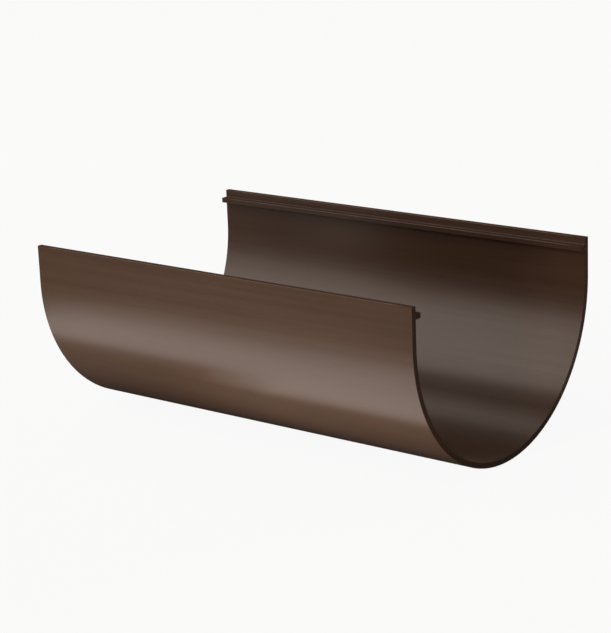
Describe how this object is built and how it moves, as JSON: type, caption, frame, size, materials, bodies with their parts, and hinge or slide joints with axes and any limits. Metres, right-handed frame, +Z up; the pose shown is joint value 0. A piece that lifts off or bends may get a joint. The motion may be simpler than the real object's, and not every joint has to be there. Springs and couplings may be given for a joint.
{
  "type": "gutter section",
  "caption": "Short length of half-round plastic rain gutter with straight upper walls, square rims and a blunt hook rib inside each rim, open at the top and at both ends.",
  "frame": {"origin": "middle of the length, on the lowest line of the round bottom, halfway between the two walls", "axes": "+X along the length, +Y from the front wall to the back wall, +Z up, from the bottom to the open top"},
  "size_m": [0.184, 0.12, 0.0755],
  "materials": {
    "brown_plastic": "satin"
  },
  "bodies": {
    "root": {"gutter_section": "brown_plastic"}
  },
  "joints": []
}
